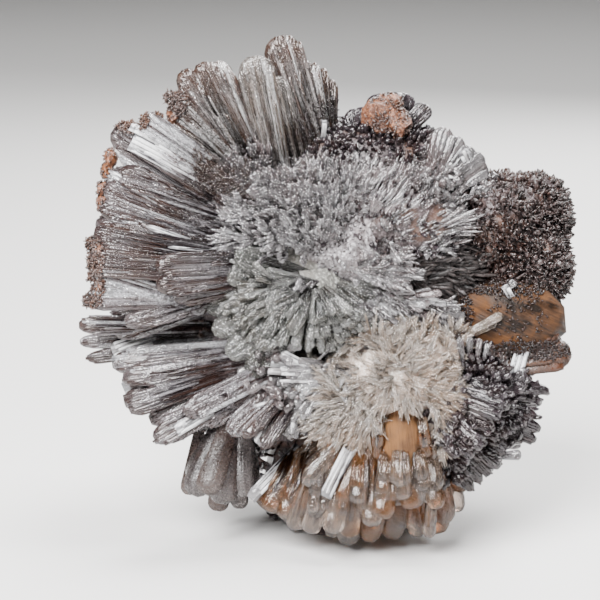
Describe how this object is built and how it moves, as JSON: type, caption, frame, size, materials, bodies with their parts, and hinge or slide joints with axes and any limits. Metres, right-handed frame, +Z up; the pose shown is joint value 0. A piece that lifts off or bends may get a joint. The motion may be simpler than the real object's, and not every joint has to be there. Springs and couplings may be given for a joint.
{
  "type": "creedite crystal cluster",
  "caption": "Rounded palm-sized cluster of bladed and needle-like creedite crystals in radiating sprays, resting on a flat broken foot.",
  "frame": {"origin": "middle of the flat resting face under the foot", "axes": "+Z up, the show face looks towards -Y and leans back 12 degrees, +X to the right of the show face"},
  "size_m": [0.081, 0.0433, 0.082],
  "materials": {
    "creedite": "translucent violet-grey blades with glassy faces, creamy and amber patches, and dark druse between them"
  },
  "bodies": {
    "root": {"crystal_cluster": "creedite"}
  },
  "joints": []
}
